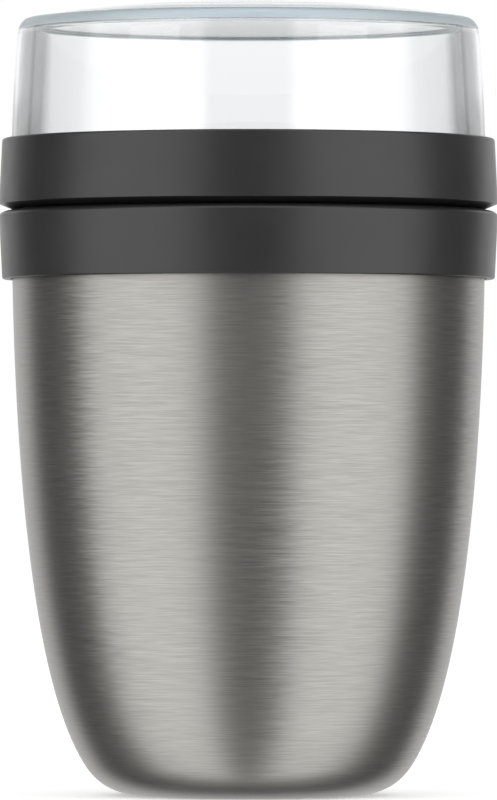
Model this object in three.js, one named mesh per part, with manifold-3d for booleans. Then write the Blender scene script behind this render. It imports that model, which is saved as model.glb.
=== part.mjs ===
// Insulated lunch pot: a double-walled steel pot with a screw-on lid collar. The collar carries a
// clear upturned cup, and a push-in inner lid closes that cup from below.
// Millimetres, Z up. The pot's axis is the Z axis and its base stands on Z = 0.

import * as THREE from "three";
import manifoldModule from "manifold-3d";

const manifold = await manifoldModule();
manifold.setup();

// Facets around the axis, the clearance left between pieces that touch, and how far moulded and
// pressed edges are cut back for their rounding.
const FACETS = 40;
const SMALL_FACETS = 24;
const SEAT_GAP = 0.3;
const EDGE_ROUND = 0.5;

// Driving sizes: the collars' radius at their widest, the height of the parting plane between pot
// and lid, and how far the clear cup stands above the lid's collar.
const RING_RADIUS = 53.5;
const PARTING_HEIGHT = 125.4;
const CUP_STAND = 29.5;

// Steel pot. The flank is widest at the parting plane, set in from the collars by RING_STEP, and its
// curve would close POLE_DROP below the base.
const RING_STEP = 2.72;
const FLANK_POWER = 0.2;
const POLE_DROP = 4.12;
const SHELL_WALL = 0.6;
const BASE_FLAT_RADIUS = 22;
const BASE_ROUND_HEIGHT = 6.5;
const RECESS_RADIUS = 17.5;
const RECESS_DEPTH = 2.2;
const PORT_RADIUS = 1.5;
const SKIRT_OVERLAP = 2;
const SHOULDER_RISE = 2.6;
const SHOULDER_ROUND = 1.2;
const NECK_HEIGHT = 6.4;

// Liner inside the pot.
const LINER_WALL = 0.6;
const VACUUM_GAP = 6;
const LINER_FLOOR = 9;
const LINER_FLAT_RADIUS = 20;
const LINER_ROUND_HEIGHT = 9;
const RIM_WIDTH = 3.2;

// Pieces sealed into the vacuum gap and the base.
const FOIL_THICKNESS = 0.3;
const FOIL_MARGIN = 4;
const GETTER_CUP_RADIUS = 5.5;
const GETTER_CUP_HEIGHT = 3;
const GETTER_CUP_WALL = 0.4;
const GETTER_OFFSET = 9;
const BEAD_RADIUS = 3.2;
const BEAD_THICKNESS = 0.6;
const CAP_THICKNESS = 0.5;

// The pot's collar and the lid's collar meet in a V-shaped groove. Both taper away from it.
const RING_TAPER = 0.68;
const GROOVE_DEPTH = 2.8;
const GROOVE_LOWER = 1.05;
const GROOVE_UPPER = 1.15;
const GROOVE_LIP = 0.58;
const COLLAR_HEIGHT = 14.7;
const DECK_THICKNESS = 2.2;
const LID_RING_HEIGHT = 15.4;
const LID_RING_WALL = 3.3;
const LID_EDGE_ROUND = 0.6;
const THREAD_ROOM = 1.6;
const NECK_WALL = 3.3;
const LEDGE_THICKNESS = 2;
const BOSS_WALL = 1.2;
const BOSS_STEP = 0.1;
const STOP_LIP_WIDTH = 1.6;
const STOP_LIP_THICKNESS = 1;
const POT_SEAL_THICKNESS = 1.6;
const POT_SEAL_INSET = 0.4;

// Clear cup, standing upside down in the lid's collar.
const CUP_STEP = 2.63;
const CUP_TAPER = 1.44;
const CUP_BULGE = 0.365;
const CUP_WALL = 3.49;
const CUP_TOP_SIDE_WALL = 3.83;
const CUP_RIM_WALL = 2.43;
const CUP_CORNER = 2.21;
const CUP_CORNER_HEIGHT = 6.1;
const CUP_CORNER_LEAN = 0.8;
const CUP_CORNER_DROP = 0.13;
const CUP_CEILING_ROUND = 0.69;
const CUP_CEILING_RISE = 1.9;
const CUP_CROWN_RISE = 3.75;
const CUP_SEAL_THICKNESS = 0.8;
const BEAD_GROOVE_DEPTH = 0.8;
const BEAD_GROOVE_HEIGHT = 1.4;
const BEAD_GROOVE_LIFT = 0.1;

// Inner lid.
const PLUG_PLAY = 0.7;
const PLUG_WALL = 2.4;
const PLUG_PANEL = 1.8;
const PLUG_DEPTH = 9.4;
const PLUG_SEAL_HEIGHT = 1.2;
const PLUG_SEAL_DEPTH = 1.2;
const PLUG_SEAL_DROP = 0.8;
const GRIP_THICKNESS = 4;
const GRIP_HEIGHT = 6.5;
const GRIP_BITE = 0.5;

// Radii that follow from the sizes above, from the outside in.
const flankTop = RING_RADIUS - RING_STEP;
const ringEnd = RING_RADIUS - RING_TAPER;
const grooveRadius = RING_RADIUS - GROOVE_DEPTH;
const threadBore = RING_RADIUS - LID_RING_WALL;
const neckRadius = threadBore - THREAD_ROOM;
const potSealRadius = neckRadius - POT_SEAL_INSET;
const collarBore = neckRadius - NECK_WALL;
const neckSteelRadius = collarBore - SEAT_GAP;
const mouthRadius = neckSteelRadius - SHELL_WALL - SEAT_GAP - LINER_WALL;
const plugBore = mouthRadius - BOSS_STEP;
const bossRadius = plugBore + BOSS_WALL;
const stopLipRadius = plugBore - STOP_LIP_WIDTH;
const plugRadius = plugBore - PLUG_PLAY;
const plugGrooveRadius = plugRadius - PLUG_SEAL_DEPTH;
const cupRadius = RING_RADIUS - CUP_STEP;
const cupBore = cupRadius + SEAT_GAP;
const cupMouth = cupRadius - CUP_WALL;
const cupTop = cupRadius - CUP_TAPER;
const cupCeilingRadius = cupTop - CUP_TOP_SIDE_WALL;
const crownRadius = cupTop - CUP_CORNER;

// Heights that follow from them, from the base up.
const beadTop = RECESS_DEPTH - SEAT_GAP;
const capTop = beadTop - BEAD_THICKNESS - SEAT_GAP;
const getterCupBottom = RECESS_DEPTH + SHELL_WALL + SEAT_GAP;
const skirtBottom = PARTING_HEIGHT - COLLAR_HEIGHT;
const shoulderHeight = skirtBottom + SKIRT_OVERLAP;
const sleeveBottom = shoulderHeight + SHOULDER_RISE + SEAT_GAP;
const neckTop = PARTING_HEIGHT + NECK_HEIGHT;
const rimBottom = neckTop + SEAT_GAP;
const rimTop = rimBottom + LINER_WALL;
const sealBottom = rimTop + SEAT_GAP;
const ledgeBottom = sealBottom + POT_SEAL_THICKNESS + SEAT_GAP;
const ledgeTop = ledgeBottom + LEDGE_THICKNESS;
const plugBottom = ledgeTop - PLUG_DEPTH;
const plugPanelBottom = ledgeTop - PLUG_PANEL;
const plugRimTop = ledgeTop - STOP_LIP_THICKNESS - SEAT_GAP;
const plugSealTop = plugRimTop - PLUG_SEAL_DROP;
const cupBottom = ledgeTop + CUP_SEAL_THICKNESS + 2 * SEAT_GAP;
const beadGrooveBottom = cupBottom + BEAD_GROOVE_LIFT;
const beadGrooveTop = beadGrooveBottom + BEAD_GROOVE_HEIGHT;
const lidTop = PARTING_HEIGHT + LID_RING_HEIGHT;
const cupApex = lidTop + CUP_STAND;

// Finishes, read from the photograph where a piece shows.
const STEEL = { color: 0xbfbfba, roughness: 0.32, metalness: 1 };
const LINER_STEEL = { color: 0xc8c8c5, roughness: 0.22, metalness: 1 };
const GREY_PLASTIC = { color: 0x3a3a3a, roughness: 0.5, metalness: 0 };
const CLEAR_PLASTIC = { color: 0xdcecf2, roughness: 0.05, metalness: 0, transparent: true, opacity: 0.3 };
const WHITE_PLASTIC = { color: 0xeeeeea, roughness: 0.45, metalness: 0 };
const SILICONE = { color: 0xd9dadb, roughness: 0.6, metalness: 0 };
const COPPER = { color: 0xc27a52, roughness: 0.25, metalness: 1 };
const GETTER_GREY = { color: 0x6a6a68, roughness: 0.8, metalness: 0.5 };
const GLASS = { color: 0x9aa59a, roughness: 0.1, metalness: 0 };

// Cuts each corner [radius, height, cut] back along both its edges and bridges it with a parabola.
function roundCorners(corners) {
  const path = [];
  corners.forEach(([radius, height, cut], index) => {
    const corner = new THREE.Vector2(radius, height);
    if (!cut) {
      path.push(corner);
      return;
    }
    const neighbours = [corners.at(index - 1), corners[(index + 1) % corners.length]];
    const ends = neighbours.map(([otherRadius, otherHeight]) => {
      const edge = new THREE.Vector2(otherRadius, otherHeight).sub(corner);
      return edge.setLength(Math.min(cut, 0.45 * edge.length())).add(corner);
    });
    path.push(...new THREE.QuadraticBezierCurve(ends[0], corner, ends[1]).getPoints(2));
  });
  return path;
}

// Turns an outline about the Z axis. It runs anticlockwise, with radius to the right and Z up.
function revolve(corners, facets = FACETS) {
  return new THREE.LatheGeometry(roundCorners(corners), facets).rotateX(Math.PI / 2);
}

// Turns an outline that closes on itself, clear of the axis.
function revolveRing(corners, facets = FACETS) {
  const path = roundCorners(corners);
  path.push(path[0].clone());
  return new THREE.LatheGeometry(path, facets).rotateX(Math.PI / 2);
}

function ringBetween(innerRadius, outerRadius, bottom, top) {
  return revolveRing([
    [innerRadius, bottom],
    [outerRadius, bottom],
    [outerRadius, top],
    [innerRadius, top],
  ]);
}

function curvePoints(start, control, end, steps) {
  const points = [start, control, end].map(([radius, height]) => new THREE.Vector2(radius, height));
  const curve = new THREE.QuadraticBezierCurve(...points);
  return curve.getPoints(steps).map((point) => [point.x, point.y]);
}

function piece(name, geometry, finish) {
  const mesh = new THREE.Mesh(geometry, new THREE.MeshStandardMaterial(finish));
  mesh.name = name;
  return mesh;
}

// Radius of the pot's outside at a height.
function flankRadius(height) {
  const fall = (PARTING_HEIGHT - height) / (PARTING_HEIGHT + POLE_DROP);
  return flankTop * (1 - fall * fall) ** FLANK_POWER;
}

// Radius of the liner's inside at a height: the flank set in, straight once it meets the mouth.
function linerRadius(height) {
  const inset = SHELL_WALL + VACUUM_GAP + LINER_WALL;
  return Math.min(mouthRadius, flankRadius(height) - inset);
}

// The side of a bowl, from the edge of its flat floor round the corner and up to a height.
function bowlSide(radiusAt, floor, flatRadius, roundHeight, top) {
  const start = floor + roundHeight;
  const lean = radiusAt(start + 0.5) - radiusAt(start - 0.5);
  const knee = [radiusAt(start) - lean * roundHeight, floor];
  const side = curvePoints([flatRadius, floor], knee, [radiusAt(start), start], 4);
  const steps = 6;
  for (let step = 1; step <= steps; step += 1) {
    const height = THREE.MathUtils.lerp(start, top, (step / steps) ** 1.5);
    side.push([radiusAt(height), height]);
  }
  return side;
}

// One face of the drawn shell, from the vacuum port to the neck, set in from the outside.
function shellFace(inset) {
  const radiusAt = (height) => flankRadius(height) - inset;
  const side = bowlSide(radiusAt, inset, BASE_FLAT_RADIUS, BASE_ROUND_HEIGHT, shoulderHeight - inset);
  side.at(-1).push(SHOULDER_ROUND);
  return roundCorners([
    [PORT_RADIUS, RECESS_DEPTH + inset],
    [RECESS_RADIUS + inset, RECESS_DEPTH + inset],
    [RECESS_RADIUS + inset, inset],
    ...side,
    [neckSteelRadius - inset, shoulderHeight + SHOULDER_RISE - inset],
    [neckSteelRadius - inset, neckTop],
  ]).map((point) => [point.x, point.y]);
}

function outerShell() {
  const outline = [...shellFace(0), ...shellFace(SHELL_WALL).reverse()];
  return piece("outer_shell", revolveRing(outline), STEEL);
}

function linerFace(outset) {
  const radiusAt = (height) => linerRadius(height) + outset;
  const floor = LINER_FLOOR - outset;
  const side = bowlSide(radiusAt, floor, LINER_FLAT_RADIUS, LINER_ROUND_HEIGHT, shoulderHeight);
  return [[0, floor], ...side];
}

// The liner's rim turns outwards over the ends of the shell's neck and the collar's neck.
function innerLiner() {
  const rimRadius = mouthRadius + RIM_WIDTH;
  const outline = [
    ...linerFace(LINER_WALL),
    [mouthRadius + LINER_WALL, rimBottom],
    [rimRadius, rimBottom],
    [rimRadius, rimTop],
    [mouthRadius, rimTop, EDGE_ROUND],
    ...linerFace(0).reverse(),
  ];
  return piece("inner_liner", revolve(outline), LINER_STEEL);
}

// Copper foil around the liner, inside the vacuum.
function heatShield() {
  const start = LINER_FLOOR + LINER_ROUND_HEIGHT + FOIL_MARGIN;
  const end = shoulderHeight - FOIL_MARGIN;
  const inside = [];
  const outside = [];
  const steps = 5;
  for (let step = 0; step <= steps; step += 1) {
    const height = THREE.MathUtils.lerp(start, end, (step / steps) ** 1.5);
    const radius = linerRadius(height) + LINER_WALL + SEAT_GAP;
    inside.push([radius, height]);
    outside.push([radius + FOIL_THICKNESS, height]);
  }
  return piece("heat_shield", revolveRing([...outside, ...inside.reverse()]), COPPER);
}

// Small dish on the shell's floor, beside the port, that holds the getter pellet.
function getterCup() {
  const bottom = getterCupBottom;
  const top = bottom + GETTER_CUP_HEIGHT;
  const inner = GETTER_CUP_RADIUS - GETTER_CUP_WALL;
  const outline = [
    [0, bottom],
    [GETTER_CUP_RADIUS, bottom],
    [GETTER_CUP_RADIUS, top],
    [inner, top],
    [inner, bottom + GETTER_CUP_WALL],
    [0, bottom + GETTER_CUP_WALL],
  ];
  return piece("getter_cup", revolve(outline, SMALL_FACETS).translate(GETTER_OFFSET, 0, 0), LINER_STEEL);
}

function getter() {
  const bottom = getterCupBottom + GETTER_CUP_WALL + SEAT_GAP;
  const top = getterCupBottom + GETTER_CUP_HEIGHT - SEAT_GAP;
  const radius = GETTER_CUP_RADIUS - GETTER_CUP_WALL - SEAT_GAP;
  const outline = [
    [0, bottom],
    [radius, bottom],
    [radius, top],
    [0, top],
  ];
  return piece("getter", revolve(outline, SMALL_FACETS).translate(GETTER_OFFSET, 0, 0), GETTER_GREY);
}

// Glass bead that closes the vacuum port from below.
function portSeal() {
  const headBottom = beadTop - BEAD_THICKNESS;
  const stem = PORT_RADIUS - SEAT_GAP;
  const outline = [
    [0, headBottom],
    [BEAD_RADIUS, headBottom, EDGE_ROUND],
    [BEAD_RADIUS, beadTop],
    [stem, beadTop],
    [stem, RECESS_DEPTH + SHELL_WALL],
    [0, RECESS_DEPTH + SHELL_WALL],
  ];
  return piece("port_seal", revolve(outline, SMALL_FACETS), GLASS);
}

// Disc set into the base recess, over the sealed port.
function baseCap() {
  const radius = RECESS_RADIUS - SEAT_GAP;
  const outline = [
    [0, capTop - CAP_THICKNESS],
    [radius, capTop - CAP_THICKNESS],
    [radius, capTop],
    [0, capTop],
  ];
  return piece("base_cap", revolve(outline), STEEL);
}

// Skirt over the pot's shoulder, a deck at the parting plane and the neck that the lid screws onto.
function potCollar() {
  const skirtBore = flankTop + SEAT_GAP;
  const deckBottom = PARTING_HEIGHT - DECK_THICKNESS;
  const groove = curvePoints(
    [RING_RADIUS, PARTING_HEIGHT - GROOVE_LOWER],
    [RING_RADIUS - GROOVE_LIP, PARTING_HEIGHT],
    [grooveRadius, PARTING_HEIGHT],
    3,
  );
  const outline = [
    [collarBore, sleeveBottom],
    [neckRadius, sleeveBottom],
    [neckRadius, deckBottom],
    [skirtBore, deckBottom],
    [skirtBore, skirtBottom],
    [ringEnd, skirtBottom, EDGE_ROUND],
    ...groove,
    [neckRadius, PARTING_HEIGHT],
    [neckRadius, neckTop, EDGE_ROUND],
    [collarBore, neckTop],
  ];
  return piece("pot_collar", revolveRing(outline), GREY_PLASTIC);
}

// Gasket under the lid's ledge, pressed onto the liner's rim.
function potSeal() {
  const inner = bossRadius + SEAT_GAP;
  const top = sealBottom + POT_SEAL_THICKNESS;
  return piece("pot_seal", ringBetween(inner, potSealRadius, sealBottom, top), SILICONE);
}

// Screw ring with a ledge inside. The cup stands on the ledge from above, in a snap groove, and the
// inner lid pushes up into the ledge's boss until it meets the stop lip.
function lidCollar() {
  const bottom = PARTING_HEIGHT + SEAT_GAP;
  const beadGrooveRadius = cupBore + BEAD_GROOVE_DEPTH;
  const lipBottom = ledgeTop - STOP_LIP_THICKNESS;
  const outline = [
    [threadBore, bottom],
    [grooveRadius, bottom],
    [RING_RADIUS, bottom + GROOVE_UPPER],
    [ringEnd, lidTop, LID_EDGE_ROUND],
    [cupBore, lidTop, SEAT_GAP],
    [cupBore, beadGrooveTop],
    [beadGrooveRadius, beadGrooveTop],
    [beadGrooveRadius, beadGrooveBottom],
    [cupBore, beadGrooveBottom],
    [cupBore, ledgeTop],
    [stopLipRadius, ledgeTop],
    [stopLipRadius, lipBottom],
    [plugBore, lipBottom],
    [plugBore, sealBottom],
    [bossRadius, sealBottom],
    [bossRadius, ledgeBottom],
    [threadBore, ledgeBottom],
  ];
  return piece("lid_collar", revolveRing(outline), GREY_PLASTIC);
}

function cupSeal() {
  const bottom = ledgeTop + SEAT_GAP;
  const top = bottom + CUP_SEAL_THICKNESS;
  return piece("cup_seal", ringBetween(cupMouth, cupBore - SEAT_GAP, bottom, top), SILICONE);
}

// Thick-walled cup, mouth down, with a snap bead near the mouth. Its closed end is crowned more outside
// than inside, so it is thinnest at the crown's rim.
function clearCup() {
  const snapRadius = cupRadius + BEAD_GROOVE_DEPTH;
  const snapBottom = beadGrooveBottom + SEAT_GAP;
  const snapTop = beadGrooveTop - SEAT_GAP;
  const flankEnd = cupApex - CUP_CORNER_HEIGHT;
  const crownEdge = cupApex - CUP_CROWN_RISE;
  const flankMiddle = (cupRadius + cupTop) / 2 + CUP_BULGE;
  const flankMiddleHeight = (snapTop + flankEnd) / 2;
  const ceiling = crownEdge - CUP_RIM_WALL;
  const flank = curvePoints(
    [cupRadius, snapTop + SEAT_GAP],
    [flankMiddle, flankMiddleHeight],
    [cupTop, flankEnd],
    4,
  );
  const shoulder = curvePoints(
    [cupTop, flankEnd],
    [cupTop - CUP_CORNER_LEAN, crownEdge - CUP_CORNER_DROP],
    [crownRadius, crownEdge],
    3,
  );
  const crown = curvePoints(
    [crownRadius, crownEdge],
    [crownRadius / 2, cupApex],
    [0, cupApex],
    4,
  );
  const crownInside = curvePoints(
    [0, ceiling + CUP_CEILING_RISE],
    [cupCeilingRadius / 2, ceiling + CUP_CEILING_RISE],
    [cupCeilingRadius, ceiling],
    4,
  );
  crownInside.at(-1).push(CUP_CEILING_ROUND);
  const outline = [
    ...crownInside,
    [cupMouth, cupBottom],
    [cupRadius, cupBottom],
    [snapRadius, snapBottom],
    [snapRadius, snapTop],
    ...flank,
    ...shoulder.slice(1),
    ...crown.slice(1),
  ];
  return piece("clear_cup", revolve(outline), CLEAR_PLASTIC);
}

function toManifold(geometry) {
  const position = geometry.getAttribute("position");
  const mesh = new manifold.Mesh({
    numProp: 3,
    vertProperties: new Float32Array(position.array),
    triVerts: new Uint32Array(geometry.index.array),
  });
  mesh.merge();
  return new manifold.Manifold(mesh);
}

function toGeometry(solid) {
  const mesh = solid.getMesh();
  const geometry = new THREE.BufferGeometry();
  geometry.setAttribute("position", new THREE.BufferAttribute(mesh.vertProperties, 3));
  geometry.setIndex(new THREE.BufferAttribute(mesh.triVerts, 1));
  geometry.computeVertexNormals();
  return geometry;
}

// Hollow plug with a seal groove round its rim and a bar across its underside to pull it out by.
function innerLid() {
  const bore = plugRadius - PLUG_WALL;
  const grooveTop = plugSealTop + SEAT_GAP;
  const grooveBottom = plugSealTop - PLUG_SEAL_HEIGHT - SEAT_GAP;
  const panelRadius = stopLipRadius - SEAT_GAP;
  const plug = revolve([
    [0, plugPanelBottom],
    [bore, plugPanelBottom],
    [bore, plugBottom, EDGE_ROUND],
    [plugRadius, plugBottom, EDGE_ROUND],
    [plugRadius, grooveBottom],
    [plugGrooveRadius, grooveBottom],
    [plugGrooveRadius, grooveTop],
    [plugRadius, grooveTop],
    [plugRadius, plugRimTop],
    [panelRadius, plugRimTop],
    [panelRadius, ledgeTop, EDGE_ROUND],
    [0, ledgeTop],
  ]);
  const gripHeight = GRIP_HEIGHT + GRIP_BITE;
  const grip = new THREE.BoxGeometry(2 * (bore + GRIP_BITE), GRIP_THICKNESS, gripHeight);
  grip.translate(0, 0, plugPanelBottom + GRIP_BITE - gripHeight / 2);
  const solid = toManifold(plug).add(toManifold(grip));
  return piece("inner_lid", toGeometry(solid), WHITE_PLASTIC);
}

function innerLidSeal() {
  const inner = plugGrooveRadius + SEAT_GAP;
  const outer = plugBore - SEAT_GAP;
  const bottom = plugSealTop - PLUG_SEAL_HEIGHT;
  return piece("inner_lid_seal", ringBetween(inner, outer, bottom, plugSealTop), SILICONE);
}

const pot = new THREE.Group();
pot.name = "insulated_lunch_pot";
pot.add(
  outerShell(),
  baseCap(),
  portSeal(),
  getterCup(),
  getter(),
  heatShield(),
  innerLiner(),
  potCollar(),
  potSeal(),
  lidCollar(),
  cupSeal(),
  clearCup(),
  innerLid(),
  innerLidSeal(),
);

export default pot;
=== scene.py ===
"""Insulated lunch pot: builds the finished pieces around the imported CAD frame.

Laid out as a Blender add-on. Metres, Z up, and the pot's axis is the Z axis.
"""

import math
from types import SimpleNamespace

import bmesh
import bpy
from bpy.props import FloatProperty, FloatVectorProperty, IntProperty, PointerProperty
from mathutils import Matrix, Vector


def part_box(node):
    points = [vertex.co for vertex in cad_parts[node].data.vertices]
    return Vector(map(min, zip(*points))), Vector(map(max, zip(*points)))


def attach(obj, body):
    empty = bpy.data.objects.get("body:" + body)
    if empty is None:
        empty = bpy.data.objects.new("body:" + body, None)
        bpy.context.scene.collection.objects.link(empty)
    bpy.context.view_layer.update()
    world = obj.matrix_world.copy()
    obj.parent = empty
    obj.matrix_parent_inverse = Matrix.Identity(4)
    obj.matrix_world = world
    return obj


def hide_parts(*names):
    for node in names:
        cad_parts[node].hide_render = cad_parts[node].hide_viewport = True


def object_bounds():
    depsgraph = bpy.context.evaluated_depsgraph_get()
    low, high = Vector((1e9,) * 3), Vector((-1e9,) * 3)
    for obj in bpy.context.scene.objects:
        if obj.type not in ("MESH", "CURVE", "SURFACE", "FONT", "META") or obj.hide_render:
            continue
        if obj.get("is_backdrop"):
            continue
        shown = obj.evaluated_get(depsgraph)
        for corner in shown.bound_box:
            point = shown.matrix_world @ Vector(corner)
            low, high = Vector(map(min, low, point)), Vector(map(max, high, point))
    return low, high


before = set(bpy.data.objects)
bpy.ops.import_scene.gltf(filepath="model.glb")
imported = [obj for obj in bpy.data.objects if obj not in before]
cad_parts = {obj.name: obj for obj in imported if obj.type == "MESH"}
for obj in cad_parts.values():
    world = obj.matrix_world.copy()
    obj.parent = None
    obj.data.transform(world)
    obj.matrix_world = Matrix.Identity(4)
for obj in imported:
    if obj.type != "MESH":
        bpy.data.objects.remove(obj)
CAD_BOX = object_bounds()

bl_info = {
    "name": "Insulated lunch pot",
    "version": (1, 0, 0),
    "blender": (4, 5, 0),
    "location": "3D View > Sidebar > Lunch Pot",
    "description": "Builds a two-tier insulated lunch pot and its studio",
    "category": "Add Mesh",
}

MM = 0.001

# Clearance that the CAD frame leaves between pieces that touch.
SEAT_GAP = 0.3 * MM

# How far a plain moulded edge is cut back.
SOFT_EDGE = 0.15 * MM

# Noise seldom leaves this range, so a finish stretches it over the values it needs.
NOISE_RANGE = {"From Min": 0.3, "From Max": 0.7}

# A Mix node's colour sockets share their names with others, so they go by number.
MIX_FACTOR, MIX_A, MIX_B, MIX_RESULT = 0, 6, 7, 2

# Height of the point that the studio's cards are built round.
STUDIO_MIDDLE = 0.085


def linear(hex_colour):
    """Turns an sRGB hex colour into linear RGBA."""
    channels = [int(hex_colour[i:i + 2], 16) / 255 for i in (1, 3, 5)]
    light = [c / 12.92 if c <= 0.04045 else ((c + 0.055) / 1.055) ** 2.4 for c in channels]
    return (*light, 1.0)


def length(label, note, millimetres):
    return FloatProperty(
        name=label, description=note, default=millimetres * MM, precision=5, unit="LENGTH"
    )


def colour(label, note, hex_colour):
    return FloatVectorProperty(
        name=label, description=note, default=linear(hex_colour), subtype="COLOR",
        size=4, min=0, max=1,
    )


class PotSizes(bpy.types.PropertyGroup):
    """Sizes of the steel pot and its liner."""

    flank_step: length("Flank step", "How far the steel is set in from the collars", 2.72)
    flank_power: FloatProperty(
        name="Flank fullness", description="Power of the flank's curve, fuller if less", default=0.2
    )
    pole_drop: length("Pole drop", "How far below the base the flank would close", 4.12)
    wall: length("Steel wall", "Thickness of the shell and the liner", 0.6)
    base_flat: length("Base flat", "Outer radius of the standing ring", 22)
    base_round: length("Base round", "Height of the rounded corner at the base", 6.5)
    recess_depth: length("Recess depth", "Depth of the recess in the base", 2.2)
    port_radius: length("Port radius", "Radius of the vacuum port in the base", 1.5)
    vacuum_gap: length("Vacuum gap", "Gap between the shell and the liner", 6)
    liner_flat: length("Liner flat", "Radius of the flat part of the liner's floor", 20)
    liner_round: length("Liner round", "Height of the rounded corner at the liner's floor", 9)
    shoulder_rise: length("Shoulder rise", "Height of the shoulder hidden by the collar", 2.6)
    skirt_overlap: length("Skirt overlap", "Height of flank that the collar covers", 2)
    facets: IntProperty(name="Facets", description="Facets around the axis", default=192, min=24)


class CollarSizes(bpy.types.PropertyGroup):
    """Sizes of the pot's collar, the lid's collar and the screw thread between them."""

    taper: length("Taper", "How far each collar draws in away from the groove", 0.68)
    groove_depth: length("Groove depth", "Depth of the groove between the collars", 2.8)
    groove_lower: length("Groove lower", "Drop of the groove's rounded lower side", 1.05)
    groove_upper: length("Groove upper", "Rise of the groove's upper chamfer", 1.15)
    groove_lip: length("Groove lip", "How far inside the edge the lower side starts", 0.58)
    deck: length("Deck", "Thickness of the pot collar's deck", 2.2)
    ring_wall: length("Ring wall", "Wall of the lid's collar at the thread", 3.3)
    neck_wall: length("Neck wall", "Wall of the neck that the lid screws onto", 3.3)
    thread_room: length("Thread room", "Gap between neck and collar for the thread", 1.6)
    boss_wall: length("Boss wall", "Wall of the boss that holds the inner lid", 1.2)
    stop_lip: length("Stop lip", "Width of the lip that stops the inner lid", 1.6)
    snap_depth: length("Snap depth", "Depth of the groove that holds the cup", 0.8)
    snap_height: length("Snap height", "Height of the groove that holds the cup", 1.4)
    snap_lift: length("Snap lift", "Height of that groove above the cup's mouth", 0.1)
    thread_lead: length("Thread lead", "Rise of the lid in one turn", 8)
    thread_starts: IntProperty(
        name="Thread starts", description="Ribs side by side", default=2, min=1
    )
    thread_foot: length("Thread foot", "Height of the thread above the parting plane", 1.9)
    thread_head: length("Thread head", "How far below the neck's top the thread ends", 1.4)
    thread_lag: length("Thread lag", "How far up its helix the lid's thread starts", 1.4)
    thread_depth: length("Thread depth", "Height of the thread's rib", 1.1)
    thread_root: length("Thread root", "Width of the thread's rib at its root", 2)
    thread_crest: length("Thread crest", "Width of the thread's rib at its crest", 0.9)


class CupSizes(bpy.types.PropertyGroup):
    """Sizes of the clear cup."""

    taper: length("Taper", "How far the cup draws in towards its closed end", 1.44)
    bulge: length("Bulge", "How far the side's curve is pushed out at its middle", 0.365)
    wall: length("Wall", "Wall at the cup's mouth", 3.49)
    ceiling_wall: length("Ceiling wall", "Side wall at the closed end", 3.83)
    ceiling_round: length("Ceiling round", "Rounding of the closed end's inner corner", 0.69)
    ceiling_rise: length("Ceiling rise", "Rise of the inside of the closed end", 1.9)
    rim_wall: length("Rim wall", "Thickness of the closed end at the crown's rim", 2.43)
    corner: length("Corner", "Width of the rounded outer corner", 2.21)
    corner_height: length("Corner height", "Drop from the apex to the corner's start", 6.1)
    corner_lean: length("Corner lean", "How far the corner leans in", 0.8)
    corner_drop: length("Corner drop", "How far the corner falls at the crown's rim", 0.13)
    crown_rise: length("Crown rise", "Rise of the closed end's crown", 3.75)
    snap_foot: length("Snap foot", "Height of the snap ring's lower edge", 0.4)
    snap_head: length("Snap head", "Height of the snap ring's upper edge", 1.2)


class PlugSizes(bpy.types.PropertyGroup):
    """Sizes of the inner lid."""

    wall: length("Wall", "Wall of the inner lid's skirt", 2.4)
    panel: length("Panel", "Thickness of the inner lid's panel", 1.8)
    rim_drop: length("Rim drop", "How far the rim is set below the panel's top", 1.3)
    seal_depth: length("Seal depth", "Depth of the seal's groove", 1.2)
    grip_thickness: length("Grip thickness", "Thickness of the grip bar", 4)
    grip_height: length("Grip height", "Height of the grip bar", 6.5)


class FinishColours(bpy.types.PropertyGroup):
    """Colours of the finishes."""

    steel_light: colour("Steel, light lines", "Brushed steel between scratches", "#a5a39f")
    steel_dark: colour("Steel, dark lines", "Brushed steel in scratches", "#8f8d89")
    collar: colour("Collar", "Satin plastic of both collars", "#1e1e1e")
    collar_fleck: colour("Collar fleck", "Lighter grain in the collars' moulded skin", "#232323")
    liner: colour("Liner", "Electropolished steel of the liner", "#cbcbc8")
    clear: colour("Clear", "What a few centimetres of the clear plastic let through", "#88c4da")
    satin: colour("Satin corner", "What the cup's satin corner scatters", "#dae6eb")
    plug: colour("Inner lid", "White polypropylene of the inner lid", "#ecebe6")
    plug_fleck: colour("Inner lid fleck", "Lighter grain in the inner lid's skin", "#f4f3ef")
    silicone: colour("Silicone", "Translucent silicone of the seals", "#e9ebeb")
    copper: colour("Copper", "Copper foil round the liner", "#c97c55")
    getter: colour("Getter", "Sintered alloy of the getter", "#6a6a68")
    glass: colour("Glass", "Fused glass that closes the port", "#9aa59a")
    floor: colour("Floor", "Studio floor", "#f7f7f7")


class LunchPotSettings(bpy.types.PropertyGroup):
    """Everything a user may change."""

    pot: PointerProperty(type=PotSizes)
    collar: PointerProperty(type=CollarSizes)
    cup: PointerProperty(type=CupSizes)
    plug: PointerProperty(type=PlugSizes)
    colours: PointerProperty(type=FinishColours)


def settings():
    return bpy.context.scene.lunch_pot


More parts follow.
